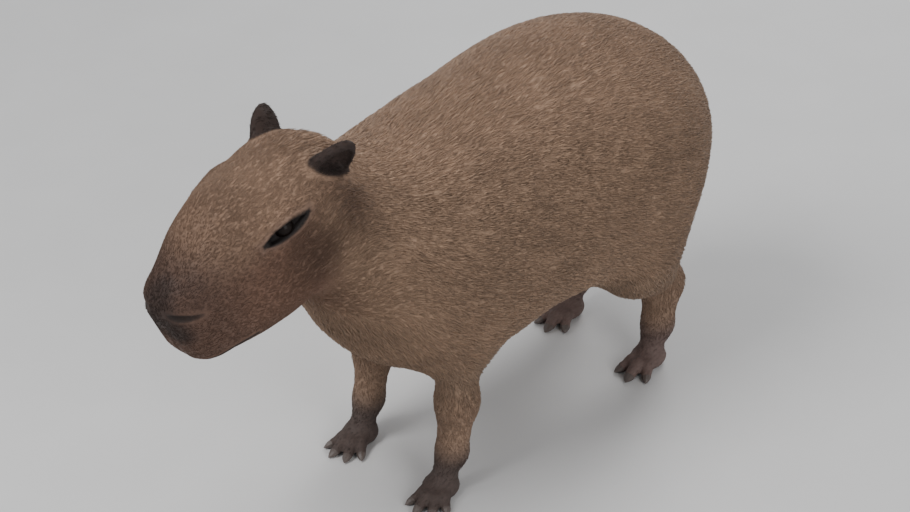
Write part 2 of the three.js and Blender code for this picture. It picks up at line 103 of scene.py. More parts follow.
EYE = dict(
    s=71, u=31, outward=86, sink=10, tilt=math.radians(-7), facing=(1, 0.12, 0.3),
    half_length=34, half_height=8, corner=3, depth=4, upper_share=0.8, gap=0.5, edge=2.5,
    fullness=0.8, corner_slope=25,
    lid_centre=(0, 1, 2), lid=(42, 18, 14.5), lid_blend=10,
)
EAR = dict(
    x=55, s=-26, u=28, height=66, half_width=29, thickness=14, hollow=9, taper=0.2,
    upward=(0.52, 0.43, 0.74), facing=(0.85, -0.2, -0.3), middle=0.2, reach=0.62,
    cup=(0.78, 0.8, 0.9), rim=4, blend=9,
)
NOSTRIL = dict(s=180, u=20, turn=32, rise=-7, spread=17, radii=(1.5, 4.6, 3.8, 1.2), edge=3)
MOUTH = dict(s=182, u=-72, sweep=92, fall=-6, points=10, lip=(4, 2), lip_blend=9, slit=(2.4, 1.0), edge=2.5)
LIP_CLEFT = dict(top=-18, points=4, radii=(2.4, 2.4, 2.0, 1.0), edge=3)
THROAT = (340, 400)  # the heights between which the head's own markings, painted shade and lie begin
FAR = 400.0  # a distance that no blend reaches
# Where each field is worked out at all: heights and y of the body, and s of the head.
TRUNK_FROM, HEAD_BEFORE, HEAD_FROM_S, EAR_BEFORE_S, LEGS_BELOW = -470, -150, -190, 60, 540


def unit(v):
    v = np.asarray(v, float)
    return v / np.linalg.norm(v)


def soft_min(a, b, k):
    h = np.maximum(k - np.abs(a - b), 0) / k
    return np.minimum(a, b) - h * h * k * 0.25


def soft_max(a, b, k):
    return -soft_min(-a, -b, k)


def ramp(x, low, high):
    """0 below low, 1 above high, smooth between."""
    t = np.clip((x - low) / (high - low), 0, 1)
    return t * t * (3 - 2 * t)


def ellipsoid(p, centre, radii):
    q = (p - np.asarray(centre, float)) / np.asarray(radii, float)
    k0 = np.sqrt((q * q).sum(1))
    g = q / np.asarray(radii, float)
    k1 = np.sqrt((g * g).sum(1))
    return np.where(k1 > 1e-9, k0 * (k0 - 1) / np.maximum(k1, 1e-9), -min(radii))


def round_cone(p, a, b, ra, rb):
    a, b = np.asarray(a, float), np.asarray(b, float)
    ba = b - a
    l2 = ba @ ba
    rr = ra - rb
    a2 = l2 - rr * rr
    pa = p - a
    y = pa @ ba
    z = y - l2
    x2 = ((pa * l2 - y[:, None] * ba) ** 2).sum(1)
    y2, z2 = y * y * l2, z * z * l2
    k = np.sign(rr) * rr * rr * x2
    side = (np.sqrt(np.maximum(x2 * a2 / l2, 0)) + y * rr) / l2 - ra
    side = np.where(np.sign(y) * a2 * y2 < k, np.sqrt(x2 + y2) / l2 - ra, side)
    return np.where(np.sign(z) * a2 * z2 > k, np.sqrt(x2 + z2) / l2 - rb, side)


def round_box(p, centre, half, r):
    q = np.abs(p - np.asarray(centre, float)) - (np.asarray(half, float) - r)
    return np.sqrt((np.maximum(q, 0) ** 2).sum(1)) + np.minimum(q.max(1), 0) - r


def rope(p, points, radii):
    """Distance to a string of round cones."""
    d = None
    for a, b, ra, rb in zip(points[:-1], points[1:], radii[:-1], radii[1:]):
        e = round_cone(p, a, b, ra, rb)
        d = e if d is None else np.minimum(d, e)
    return d


def in_head(p):
    d = p - HEAD_ORIGIN
    return np.stack([d[:, 0], d @ HEAD_FORWARD, d @ HEAD_UP], 1)


def head_point(x, s, u):
    return HEAD_ORIGIN + np.array([x, 0, 0]) + HEAD_FORWARD * s + HEAD_UP * u


def folded(p):
    q = p.copy()
    q[:, 0] = np.abs(q[:, 0])
    return q


def skull(h):
    h = folded(h)
    d = ellipsoid(h, *SKULL[0])
    for mass in SKULL[1:]:
        d = soft_min(d, ellipsoid(h, *mass), HEAD_BLEND)
    d = soft_min(d, round_box(h, *MUZZLE), HEAD_BLEND)
    return soft_min(d, ellipsoid(h, *CHIN), HEAD_BLEND)


def trunk(p):
    d = ellipsoid(p, *TRUNK[0])
    for mass in TRUNK[1:]:
        d = soft_min(d, ellipsoid(p, *mass), TRUNK_BLEND)
    neck = round_cone(p, NECK_BASE, head_point(*NECK_HEAD), NECK_BASE_R, NECK_HEAD_R)
    return soft_min(d, neck, TRUNK_BLEND)


def limb(p, limb_row):
    """p is folded onto the left side."""
    pts, radii = limb_row["points"], limb_row["radii"]
    d = ellipsoid(p, *limb_row["mass"])
    for i, blend in enumerate(LIMB_BLENDS):
        d = soft_min(d, round_cone(p, pts[i], pts[i + 1], radii[i], radii[i + 1]), blend)
    return soft_min(d, ellipsoid(p, pts[-1], limb_row["palm"]), PALM_BLEND)


def toe_run(limb_row, toe, side):
    """A toe's root, knuckle and end, and its radius."""
    turn, reach, radius = toe
    palm = np.array(limb_row["points"][-1], float)
    a = math.radians(turn + limb_row["turn"][side])
    out = np.array([math.sin(a), -math.cos(a), 0])

    def place(share, height):
        q = palm + out * reach * share
        q[2] = radius * height
        return q

    return [place(share, height) for share, height in TOE_PLACES], radius


def toes(p, limb_row, side):
    """The toes of one side's foot, with a thin web between neighbours."""
    d = None
    runs = [toe_run(limb_row, toe, side) for toe in limb_row["toes"]]
    for (root, knuckle, end), r in runs:
        back = round_cone(p, root, knuckle, r * TOE_ROOT, r)
        front = round_cone(p, knuckle, end, r, r * TOE_TIP)
        e = soft_min(back, front, TOE_BLEND)
        d = e if d is None else soft_min(d, e, WEB_BLEND)
    return d


def squared(p, limb_row):
    """Each place folded onto the left side, with the right foot's step undone."""
    share = (1 - ramp(p[:, 2], STEP_FULL, STEP_NONE)) * ramp(-p[:, 0], *STEP_MIDDLE)
    q = p.copy()
    q[:, 0] -= limb_row["right_step"][0] * share
    q[:, 1] -= limb_row["right_step"][1] * share
    return folded(q)


def ear_axes():
    upward = unit(EAR["upward"])
    facing = np.array(EAR["facing"])
    facing = unit(facing - upward * (facing @ upward))
    root = head_point(EAR["x"], EAR["s"], EAR["u"])
    middle = root + upward * EAR["height"] * EAR["middle"]
    return np.cross(upward, facing), upward, facing, middle


EAR_ACROSS, EAR_UP, EAR_FACING, EAR_MIDDLE = ear_axes()


def in_ear(p):
    d = p - EAR_MIDDLE
    return np.stack([d @ EAR_ACROSS, d @ EAR_UP, d @ EAR_FACING], 1)


def ear(p):
    q = in_ear(p)
    radii = np.array([EAR["half_width"], EAR["height"] * EAR["reach"], EAR["thickness"]])
    q[:, 0] /= 1 - EAR["taper"] * np.clip(q[:, 1] / radii[1], -1, 1)
    outer = ellipsoid(q, (0, 0, 0), radii)
    hollow = ellipsoid(q, (0, 0, EAR["hollow"]), radii * EAR["cup"])
    return soft_max(outer, -hollow, EAR["rim"])


def face_ray(s, u, degrees, level=0.0):
    """Where a ray from (0, s, u) inside the head leaves it, in the head's frame."""
    a = math.radians(degrees)
    way = np.array([math.sin(a), math.cos(a), 0])
    low, high = 0.0, 200.0
    for _ in range(30):
        t = (low + high) / 2
        inside = skull(np.array([[0, s, u]]) + way * t)[0] < level
        low, high = (t, high) if inside else (low, t)
    return np.array([0, s, u]) + way * low


def eye_axes():
    out = unit(EYE["facing"])
    level = np.array([0, math.cos(EYE["tilt"]), -math.sin(EYE["tilt"])])
    along = unit(level - out * (level @ out))
    return along, np.cross(out, along), out


EYE_CENTRE = face_ray(EYE["s"], EYE["u"], EYE["outward"], -EYE["sink"])
EYE_ALONG, EYE_UP, EYE_OUT = eye_axes()
MOUTH_LINE = [
    face_ray(MOUTH["s"], MOUTH["u"] + MOUTH["fall"] * t * t, t * MOUTH["sweep"], 2)
    for t in np.linspace(0, 1, MOUTH["points"])
]
CLEFT = [
    face_ray(MOUTH["s"], u, 0, 1) for u in np.linspace(MOUTH["u"], LIP_CLEFT["top"], LIP_CLEFT["points"])
]
NOSTRIL_LINE = [
    face_ray(NOSTRIL["s"], NOSTRIL["u"] + t * NOSTRIL["rise"], NOSTRIL["turn"] + t * NOSTRIL["spread"], 1)
    for t in (-1, -0.4, 0.3, 1)
]


def mouth(h, *ends):
    """Distance to the mouth's line, with radii that run from the first end to the last."""
    return rope(h, MOUTH_LINE, np.linspace(ends[0], ends[-1], MOUTH["points"]))


def cleft(h, radii):
    return rope(h, CLEFT, radii)


def nostril(h, radii):
    return rope(h, NOSTRIL_LINE, radii)


def eye_local(h):
    d = h - EYE_CENTRE
    return np.stack([d @ EYE_ALONG, d @ EYE_UP, d @ EYE_OUT], 1)


def eye_slit(h):
    """A long almond, pointed at both corners and flatter above, as under a heavy lid."""
    q = eye_local(h)
    along = np.abs(q[:, 0]) / (EYE["half_length"] + EYE["corner"])
    height = EYE["half_height"] * np.maximum(1 - along**2, 0) ** EYE["fullness"]
    upper = q[:, 1] - EYE["gap"] - height * EYE["upper_share"]
    lower = -q[:, 1] - EYE["gap"] - height
    depth = -q[:, 2] + EYE["depth"]
    ends = along * EYE["corner_slope"] - EYE["corner_slope"]
    return np.maximum(np.maximum(upper, lower), np.maximum(depth, ends))


def head_flesh(h):
    """The head with its lids, the slits of its eyes, its nostrils, lips and mouth."""
    head = skull(h)
    q = eye_local(h)
    head = soft_min(head, ellipsoid(q, EYE["lid_centre"], EYE["lid"]), EYE["lid_blend"])
    head = soft_max(head, -eye_slit(h), EYE["edge"])
    head = soft_min(head, mouth(h, *MOUTH["lip"]), MOUTH["lip_blend"])
    head = soft_max(head, -mouth(h, *MOUTH["slit"]), MOUTH["edge"])
    head = soft_max(head, -cleft(h, LIP_CLEFT["radii"]), LIP_CLEFT["edge"])
    return soft_max(head, -nostril(h, NOSTRIL["radii"]), NOSTRIL["edge"])


def where(near, field, p):
    """field at the points that are near, and a long distance at the others."""
    d = np.full(len(p), FAR)
    if near.any():
        d[near] = field(p[near])
    return d


def flesh(p):
    """Signed distance to the whole animal's surface, without its coat."""
    f = folded(p)
    h = in_head(f)
    near_head = (h[:, 1] > HEAD_FROM_S) & (p[:, 1] < HEAD_BEFORE)
    d = where(p[:, 1] > TRUNK_FROM, trunk, p)
    d = soft_min(d, where(near_head, head_flesh, h), HEAD_BLEND)
    d = soft_min(d, where(near_head & (h[:, 1] < EAR_BEFORE_S), ear, f), EAR["blend"])
    low = p[:, 2] < LEGS_BELOW
    for row in (FRONT_LIMB, HIND_LIMB):
        near = low & (p[:, 1] > row["span"][0]) & (p[:, 1] < row["span"][1])
        q = squared(p, row)
        d = soft_min(d, where(near, lambda q: limb(q, row), q), row["body_blend"])
        for side, here in (("left", p[:, 0] > 0), ("right", p[:, 0] <= 0)):
            here &= near & (p[:, 2] < TOES_BELOW)
            d = soft_min(d, where(here, lambda q: toes(q, row, side), q), TOES_BLEND)
    return soft_max(d, -p[:, 2], 2)


COAT_DEPTH, FACE_DEPTH = 4, 1


def coat_depth(p):
    """How far the skin lies inside the CAD's surface: 0 on ears, feet and lids, and little on the face."""
    f = folded(p)
    h = in_head(f)
    on_face = ramp(h[:, 1], -30, 60) * ramp(p[:, 2], 300, 380)
    depth = COAT_DEPTH + (FACE_DEPTH - COAT_DEPTH) * on_face
    depth *= ramp(p[:, 2], 60, 200)
    depth *= ramp(ear(f), 6, 30)
    q = eye_local(h)
    depth *= ramp(np.sqrt((q * q).sum(1)), 24, 44)
    return depth


def settle(p, rounds, largest=4.0, step=0.5):
    """Moves points onto the skin, by the field's slope and no more than largest in a round."""
    depth = coat_depth(p)
    for _ in range(rounds):
        d = flesh(p)
        g = np.empty_like(p)
        for axis in range(3):
            q = p.copy()
            q[:, axis] += step
            g[:, axis] = (flesh(q) - d) / step
        n2 = np.maximum((g * g).sum(1), 0.2)
        move = np.clip((d + depth) / n2, -largest, largest)
        p = p - g * move[:, None]
    return p


# The skin

VOXEL = 0.0046  # metres
SETTLE_FIRST, SMOOTH_ROUNDS = 4, 3
FLESH_NODES = [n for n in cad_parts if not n.startswith("eye") and "claw" not in n]


def joined_flesh():
    """Flesh and eyeballs in one mesh, so that no socket is left for the skin to fold into."""
    bm = bmesh.new()
    for name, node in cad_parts.items():
        if "claw" not in name:
            bm.from_mesh(node.data)
    mesh = bpy.data.meshes.new("flesh")
    bm.to_mesh(mesh)
    bm.free()
    return mesh


def remeshed(mesh, voxel):
    obj = bpy.data.objects.new("flesh", mesh)
    bpy.context.scene.collection.objects.link(obj)
    mod = obj.modifiers.new("remesh", "REMESH")
    mod.mode = "VOXEL"
    mod.voxel_size = voxel
    graph = bpy.context.evaluated_depsgraph_get()
    made = bpy.data.meshes.new_from_object(obj.evaluated_get(graph))
    bpy.data.objects.remove(obj)
    return made


def points_of(bm):
    return np.array([v.co for v in bm.verts]) * 1000 - (0, MOVE_Y, 0)


def refine(bm, wanted):
    """Cuts each face whose corners are all wanted into four."""
    keep = wanted(points_of(bm))
    bm.verts.ensure_lookup_table()
    edges = [e for e in bm.edges if keep[e.verts[0].index] and keep[e.verts[1].index]]
    bmesh.ops.subdivide_edges(bm, edges=edges, cuts=1, use_grid_fill=True)
    bm.verts.index_update()


def near_small_forms(p):
    """The head above the throat, the feet and the ears."""
    head = (in_head(p)[:, 1] > -60) & (p[:, 2] > 330)
    return head | (p[:, 2] < 60) | (ear(folded(p)) < 10)


def near_features(p):
    """Close round the eyes, mouth, cleft, nostrils and ears."""
    h = in_head(folded(p))
    near = (np.abs(eye_local(h)) < (44, 24, 30)).all(1)
    near |= mouth(h, 14) < 0
    near |= cleft(h, [10] * 4) < 0
    near |= nostril(h, [12] * 4) < 0
    return near | (ear(folded(p)) < 4)


def skin_mesh():
    """The flesh in one mesh without seams, settled onto the skin and smoothed along it."""
    source = remeshed(joined_flesh(), VOXEL)
    bm = bmesh.new()
    bm.from_mesh(source)
    bm.verts.index_update()
    refine(bm, near_small_forms)
    refine(bm, near_features)
    p = settle(points_of(bm), SETTLE_FIRST)
    edges = np.array([(e.verts[0].index, e.verts[1].index) for e in bm.edges])
    count = np.bincount(edges.ravel(), minlength=len(p))[:, None]
    for _ in range(SMOOTH_ROUNDS):
        total = np.zeros_like(p)
        np.add.at(total, edges[:, 0], p[edges[:, 1]])
        np.add.at(total, edges[:, 1], p[edges[:, 0]])
        p = settle(p + 0.5 * (total / count - p), 1)
    for v, q in zip(bm.verts, (p + (0, MOVE_Y, 0)) / 1000):
        v.co = q
    bmesh.ops.triangulate(bm, faces=bm.faces[:])
    mesh = bpy.data.meshes.new("skin")
    bm.to_mesh(mesh)
    bm.free()
    return mesh, p


# Markings and painted shade: one colour for every place, shared by skin and coat

BACK = (0.343, 0.223, 0.150)
FLANK = (0.292, 0.191, 0.127)
BELLY = (0.300, 0.205, 0.140)
FOREHEAD = (0.250, 0.158, 0.105)
# The bridge of the snout is painted darker than the forehead: painted shade on its brightly lit top.
BRIDGE_IN_PAINTED_SHADE = (0.188, 0.115, 0.076)
# Lower face and cheek: their own darker marks with painted shade added on top.
LOWER_FACE_MARK_AND_SHADE = (0.152, 0.084, 0.057)
CHEEK_MARK_AND_SHADE = (0.106, 0.060, 0.040)
MUZZLE_COLOUR = (0.110, 0.062, 0.044)
NOSE = (0.034, 0.021, 0.017)
# The chin's colour is its own mark with painted shade added.
CHIN_MARK_AND_SHADE = (0.108, 0.062, 0.044)
LID = (0.120, 0.074, 0.058)
NAPE_SHADE = (0.115, 0.066, 0.044)
# Painted shade on the nape, behind the cheek.
LEG = (0.268, 0.175, 0.120)
# One foot colour twice: the front feet darker as painted shade, the hind feet lighter as painted light.
FRONT_FOOT_SHADED = (0.078, 0.056, 0.049)
HIND_FOOT_LIT = (0.150, 0.102, 0.089)
EAR_COLOUR = (0.026, 0.016, 0.013)
EAR_BACK = (0.032, 0.019, 0.015)
# Painted shade in the slits of the nostrils, mouth and lip cleft; in the eye's slit, painted shade and its
# dark lid rim.
SLIT_SHADE = (0.010, 0.007, 0.006)
# Soft spots: the middle (s, u) and the half size along and across the head.
# The nape's spot is painted shade behind the cheek.
NAPE_SHADE_SPOT = ((-18, -18), (34, 52))
# The cheek's spot is its dark mark with painted shade.
CHEEK_MARK_AND_SHADE_SPOT = ((62, -24), (50, 44))
MUZZLE_TOP_SPOT = ((214, 50), (46, 26))
NOSE_PAD = ([(0, 236, 52), (6, 252, 24), (22, 258, -6)], [17, 24, 20])
MOUTH_SHADE_HALF_WIDTH = 2.2  # half width of the line of painted shade in the mouth
# half width of the line of painted shade in the lip cleft
CLEFT_SHADE_HALF_WIDTH = 2.0


def on_head(p, h, low, high):
    """0 on the body and 1 on the head, smooth between the two places s."""
    return ramp(h[:, 1], low, high) * ramp(p[:, 2], *THROAT)


def patch(h, centre, size):
    """A soft oval spot seen from the head's side."""
    return np.exp(-(((h[:, 1] - centre[0]) / size[0]) ** 2) - ((h[:, 2] - centre[1]) / size[1]) ** 2)


def marks_and_painted_shade(p):
    """The colour of every place, markings with painted shade and painted light, painted from the broad
    zones to the small ones.
    """
    f = folded(p)
    h = in_head(f)
    c = np.tile(np.array(FLANK), (len(p), 1))

    def paint(colour, mask):
        m = np.clip(mask, 0, 1)[:, None]
        c[:] = c * (1 - m) + np.array(colour) * m

    head = on_head(p, h, -70, -10)
    paint(BACK, ramp(p[:, 2], 440, 580) * (1 - head))
    paint(BELLY, (1 - ramp(p[:, 2], 190, 260)) * ramp(p[:, 2], 150, 190))
    paint(FOREHEAD, head * ramp(h[:, 2], -10, 30))
    # Painted shade on the top of the snout.
    paint(BRIDGE_IN_PAINTED_SHADE, head * ramp(h[:, 1], 60, 150))
    # The lower face darkens towards the jaw: its own mark and painted shade.
    paint(LOWER_FACE_MARK_AND_SHADE, head * ramp(h[:, 1], 15, 80) * (1 - ramp(h[:, 2], 12, 58)))
    paint(MUZZLE_COLOUR, head * ramp(h[:, 1], 140, 220) * (1 - 0.5 * ramp(h[:, 2], 45, 80)))
    # The chin and underside: their own mark and painted shade.
    paint(CHIN_MARK_AND_SHADE, head * ramp(h[:, 1], 110, 190) * (1 - ramp(h[:, 2], -96, -76)))
    # A spot of painted shade on the nape, behind the cheek.
    paint(NAPE_SHADE, 0.85 * patch(h, *NAPE_SHADE_SPOT) * ramp(f[:, 0], 40, 80) * ramp(p[:, 2], 380, 420))
    # The cheek: its own dark mark and painted shade.
    paint(CHEEK_MARK_AND_SHADE, 0.9 * patch(h, *CHEEK_MARK_AND_SHADE_SPOT) * ramp(f[:, 0], 35, 65))
    paint(NOSE, 0.9 * (1 - ramp(rope(h, *NOSE_PAD), -12, 16)) * head)
    paint(NOSE, 0.4 * patch(h, *MUZZLE_TOP_SPOT) * head)
    paint(LID, 0.4 * (1 - ramp(eye_slit(h), 4, 12)) * head)
    paint(LEG, 1 - ramp(p[:, 2], 110, 250))
    foot = 1 - ramp(p[:, 2], 46, 100)
    # Painted shade on the front feet and painted light on the hind feet.
    paint(FRONT_FOOT_SHADED, foot * (p[:, 1] < HIND_FROM))
    paint(HIND_FOOT_LIT, foot * (p[:, 1] >= HIND_FROM))
    q = in_ear(f)
    radii = (EAR["half_width"], EAR["height"] * EAR["reach"], EAR["thickness"])
    whole = ellipsoid(q, (0, 0, 2), radii)
    paint(EAR_COLOUR, 1 - ramp(np.minimum(whole, ear(f)), 0.5, 5))
    paint(EAR_BACK, (1 - ramp(ear(f), 1, 6)) * ramp(-q[:, 2], -7, 2))
    # Painted shade in the slits of the eyes, nostrils, mouth and cleft; in the eye's slit also its dark lid
    # rim.
    paint(SLIT_SHADE, (1 - ramp(eye_slit(h), 0.5, 4.5)) * head)
    paint(SLIT_SHADE, (1 - ramp(nostril(h, NOSTRIL["radii"]), 0.2, 3)) * head)
    paint(SLIT_SHADE, 0.9 * (1 - ramp(mouth(h, MOUTH_SHADE_HALF_WIDTH), 0.2, 3)) * head)
    paint(SLIT_SHADE, 0.7 * (1 - ramp(cleft(h, [CLEFT_SHADE_HALF_WIDTH] * 4), 0.2, 3)) * head)
    return c


def paint_mesh(mesh, colours):
    layer = mesh.color_attributes.new("Marks", "FLOAT_COLOR", "POINT")
    rgba = np.ones((len(colours), 4), np.float32)
    rgba[:, :3] = colours
    layer.data.foreach_set("color", rgba.ravel())
    mesh.color_attributes.active_color = layer


# Materials


class Nodes:
    """A short way to wire a procedural material."""

    def __init__(self, name, roughness, **values):
        self.material = bpy.data.materials.new(name)
        self.material.use_nodes = True
        self.tree = self.material.node_tree
        self.shader = self.tree.nodes["Principled BSDF"]
        self.shader.inputs["Roughness"].default_value = roughness
        for key, value in values.items():
            self.shader.inputs[key.replace("_", " ")].default_value = value

    def add(self, kind, **links):
        node = self.tree.nodes.new(kind)
        for key, value in links.items():
            socket = node.inputs[key.replace("_", " ")]
            if isinstance(value, bpy.types.NodeSocket):
                self.tree.links.new(value, socket)
            else:
                socket.default_value = value
        return node

    def link(self, output, name):
        self.tree.links.new(output, self.shader.inputs[name])

    def noise(self, scale, detail=3.0, stretch=(1, 1, 1)):
        place = self.add("ShaderNodeTexCoord").outputs["Object"]
        sized = self.add("ShaderNodeMapping", Vector=place, Scale=stretch).outputs[0]
        return self.add("ShaderNodeTexNoise", Vector=sized, Scale=scale, Detail=detail).outputs["Fac"]

    def between(self, value, low, high):
        """value from the noise's usual 0.3..0.7 to low..high"""
        node = self.add("ShaderNodeMapRange", Value=value)
        node.inputs["From Min"].default_value = 0.3
        node.inputs["From Max"].default_value = 0.7
        node.inputs["To Min"].default_value = low
        node.inputs["To Max"].default_value = high
        return node.outputs["Result"]

    def two_tones(self, value, low, high):
        """low's colour to high's colour as value runs from 0 to 1"""
        node = self.add("ShaderNodeValToRGB", Fac=value)
        node.color_ramp.elements[0].color = (*low, 1)
        node.color_ramp.elements[1].color = (*high, 1)
        self.link(node.outputs["Color"], "Base Color")

    def tinted(self, colour, factor):
        mix = self.add("ShaderNodeVectorMath", Vector=colour)
        mix.operation = "SCALE"
        self.tree.links.new(factor, mix.inputs["Scale"])
        return mix.outputs["Vector"]

    def bump(self, height, strength, distance):
        node = self.add("ShaderNodeBump", Height=height, Strength=strength, Distance=distance)
        self.link(node.outputs["Normal"], "Normal")


def marks_and_shade_colour(made):
    node = made.add("ShaderNodeVertexColor")
    node.layer_name = "Marks"
    return node.outputs["Color"]


def skin_material():
    made = Nodes("skin", 0.72, Specular_IOR_Level=0.3)
    streaks = made.noise(260, 4, (1.6, 0.45, 1.6))
    patches = made.noise(14, 3)
    shade = made.tinted(marks_and_shade_colour(made), made.between(streaks, 0.84, 1.14))
    shade = made.tinted(shade, made.between(patches, 0.9, 1.08))
    made.link(shade, "Base Color")
    made.link(made.between(made.noise(90), 0.62, 0.86), "Roughness")
    made.bump(streaks, 0.4, 0.0018)
    return made.material


def coat_material():
    made = Nodes("coat", 0.62, Specular_IOR_Level=0.35)
    made.link(made.tinted(marks_and_shade_colour(made), made.between(made.noise(14, 3), 0.88, 1.1)), "Base Color")
    made.bump(made.noise(900, 2, (2, 0.5, 2)), 0.35, 0.0006)
    return made.material


def horn_material():
    made = Nodes("horn", 0.45, Specular_IOR_Level=0.45)
    grain = made.noise(140, 3, (1, 0.35, 1))
    made.two_tones(grain, (0.060, 0.046, 0.041), (0.150, 0.118, 0.104))
    made.bump(grain, 0.4, 0.0005)
    return made.material


def eye_material():
    made = Nodes("eyeball", 0.42, Specular_IOR_Level=0.12, Coat_Weight=0.04, Coat_Roughness=0.1)
    made.two_tones(made.noise(240, 3), (0.004, 0.0025, 0.002), (0.012, 0.007, 0.005))
    made.bump(made.noise(60, 2), 0.05, 0.0003)
    return made.material


def floor_material():
    made = Nodes("floor", 0.8)
    made.two_tones(made.noise(6, 5), (0.66, 0.655, 0.65), (0.72, 0.715, 0.71))
    made.bump(made.noise(180, 4), 0.1, 0.001)
    return made.material


# The coat's lie

NECK_LIE = np.array([0, 0.86, -0.5])
HEAD_LIE = -HEAD_FORWARD + HEAD_UP * 0.1
LEG_LIE = np.array([0, 0.25, -1.0])
FOOT_LIE = np.array([0, -1.0, -0.3])
SIDE_FALL = 0.28  # how far the hair turns down on the flanks
HEAD_SPREAD = 0.25  # and outwards on the head


def lie(p, n):
    """The way the hairs point at each place, along the surface."""
    f = folded(p)
    h = in_head(f)
    side = np.sign(p[:, :1])
    way = np.zeros_like(p)
    way[:, 1] = 1.0
    way[:, 2] = -SIDE_FALL * ramp(f[:, 0], 40, 150)
    neck = ramp(-p[:, 1], 60, 200)[:, None]
    way = way * (1 - neck) + neck * NECK_LIE
    head = on_head(p, h, -60, 30)[:, None]
    way = way * (1 - head) + head * HEAD_LIE
    way[:, 0] += (HEAD_SPREAD * head[:, 0]) * side[:, 0] * ramp(f[:, 0], 5, 40)
    leg = (1 - ramp(p[:, 2], 150, 300))[:, None]
    way = way * (1 - leg) + leg * LEG_LIE
    foot = (1 - ramp(p[:, 2], 30, 80))[:, None]
    way = way * (1 - foot) + foot * FOOT_LIE
    way -= n * (way * n).sum(1, keepdims=True)
    size = np.sqrt((way * way).sum(1, keepdims=True))
    return way / np.maximum(size, 1e-6)


BODY_HAIR, HEAD_SHORTER, FACE_SHORTER = 16, 9.0, 3.4


def hair_length(p):
    """Length of the hair in millimetres: longest on the back, shortest on face and feet."""
    f = folded(p)
    h = in_head(f)
    head = ramp(h[:, 1], -60, 40) * ramp(p[:, 2], 330, 390)
    face = ramp(h[:, 1], 60, 180) * head
    length = BODY_HAIR - HEAD_SHORTER * head - FACE_SHORTER * face
    length *= 0.32 + 0.68 * ramp(p[:, 2], 70, 260)
    length *= 0.4 + 0.6 * ramp(ear(f), 4, 26)
    return length


def hair_room(p):
    """0 where no tuft grows: eyes, nostrils, lips and soles. Few grow on the ears and feet."""
    f = folded(p)
    h = in_head(f)
    room = ramp(eye_slit(h), 5, 9)
    room *= ramp(mouth(h, 3), 2, 6)
    room *= ramp(nostril(h, [3] * 4), 3, 10)
    room *= ramp(ear(f), -1, 1.5) * 0.85 + 0.15
    room *= ramp(p[:, 2], 26, 70) * 0.9 + 0.1 * (p[:, 2] > 12)
    return room


def skin_triangles(mesh):
    mesh.calc_loop_triangles()
    tri = np.zeros(len(mesh.loop_triangles) * 3, np.int32)
    mesh.loop_triangles.foreach_get("vertices", tri)
    return tri.reshape(-1, 3)


ROLL_HEIGHT = 385  # the axis that the body is rolled out from
ROLL_FRONT, ROLL_LENGTH = 580, 1110
LEG_TOP = 190  # the legs' own sheets reach this high
LEG_AXIS_AHEAD = 10  # of the hock


def unwrap(p):
    """Each place of the skin on a flat sheet: the body rolled out, with the four legs below it."""
    angle = np.arctan2(p[:, 0], p[:, 2] - ROLL_HEIGHT) / (2 * math.pi) + 0.5
    along = np.clip((p[:, 1] + ROLL_FRONT) / ROLL_LENGTH, 0, 1)
    uv = np.stack([0.01 + 0.98 * angle, 0.33 + 0.66 * along], 1)
    for i, (sx, row) in enumerate(
        [(1, FRONT_LIMB), (-1, FRONT_LIMB), (1, HIND_LIMB), (-1, HIND_LIMB)]
    ):
        x, y, _ = row["points"][2]
        on = (p[:, 2] < LEG_TOP) & (p[:, 0] * sx > 0) & ((p[:, 1] > HIND_FROM) == (y > HIND_FROM))
        turn = np.arctan2(p[:, 1] - y + LEG_AXIS_AHEAD, p[:, 0] - sx * x) / (2 * math.pi) + 0.5
        leg_uv = np.stack([0.005 + 0.25 * i + 0.24 * turn, 0.01 + 0.3 * p[:, 2] / LEG_TOP], 1)
        uv = np.where(on[:, None], leg_uv, uv)
    return uv


TUFTS = 140000
TUFTS_A_PIECE = 18500  # ten triangles each
SECTION = np.array([[-0.5, 0.0], [0.5, 0.0], [0.0, 1.0]])  # across and up, times width and height
LEVELS = ((0.0, -0.12, 1.0), (0.5, 0.75, 0.8))  # share of the length, of the rise and of the width
PATCH = 0.0012  # half size of a tuft's patch on the sheet
PATCH_CORNERS = np.array([[-1, -1], [1, -1], [0, -1], [-1, 0], [1, 0], [0, 0], [0, 1]])
LOWEST = 0.5  # no corner of a tuft is lower than this
TURN_SPREAD = 0.16  # radians off the lie
LENGTHS, WIDTHS, RISES = (0.7, 1.25), (0.8, 1.2), (0.07, 0.17)
LEAST_WIDTH, WIDTH_SHARE, LEAST_RISE = 0.4, 0.075, 0.25
TONE_SPREAD, TONES = 0.08, (0.35, 1.7)
DARK_SHARE, DARK_TONE = 0.08, 0.72
LIGHT_SHARE, LIGHT_TONE = 0.12, 1.24


def grow(points, triangles, total):
    """Roots of the tufts and the skin's normals there, closer together on the head and lower legs."""
    a, b, c = (points[triangles[:, i]] for i in range(3))
    cross = np.cross(b - a, c - a)
    area = np.sqrt((cross * cross).sum(1)) / 2
    middle = (a + b + c) / 3
    crowd = 1 + 1.6 * on_head(middle, in_head(middle), -40, 60)
    crowd += 0.5 * (1 - ramp(middle[:, 2], 120, 260))
    weight = area * crowd * hair_room(middle)
    picked = rng.choice(len(area), total, p=weight / weight.sum())
    r1, r2 = np.sqrt(rng.random(total)), rng.random(total)
    root = (
        a[picked] * (1 - r1)[:, None]
        + b[picked] * (r1 * (1 - r2))[:, None]
        + c[picked] * (r1 * r2)[:, None]
    )
    normal = cross[picked] / np.maximum(2 * area[picked], 1e-9)[:, None]
    return root, normal


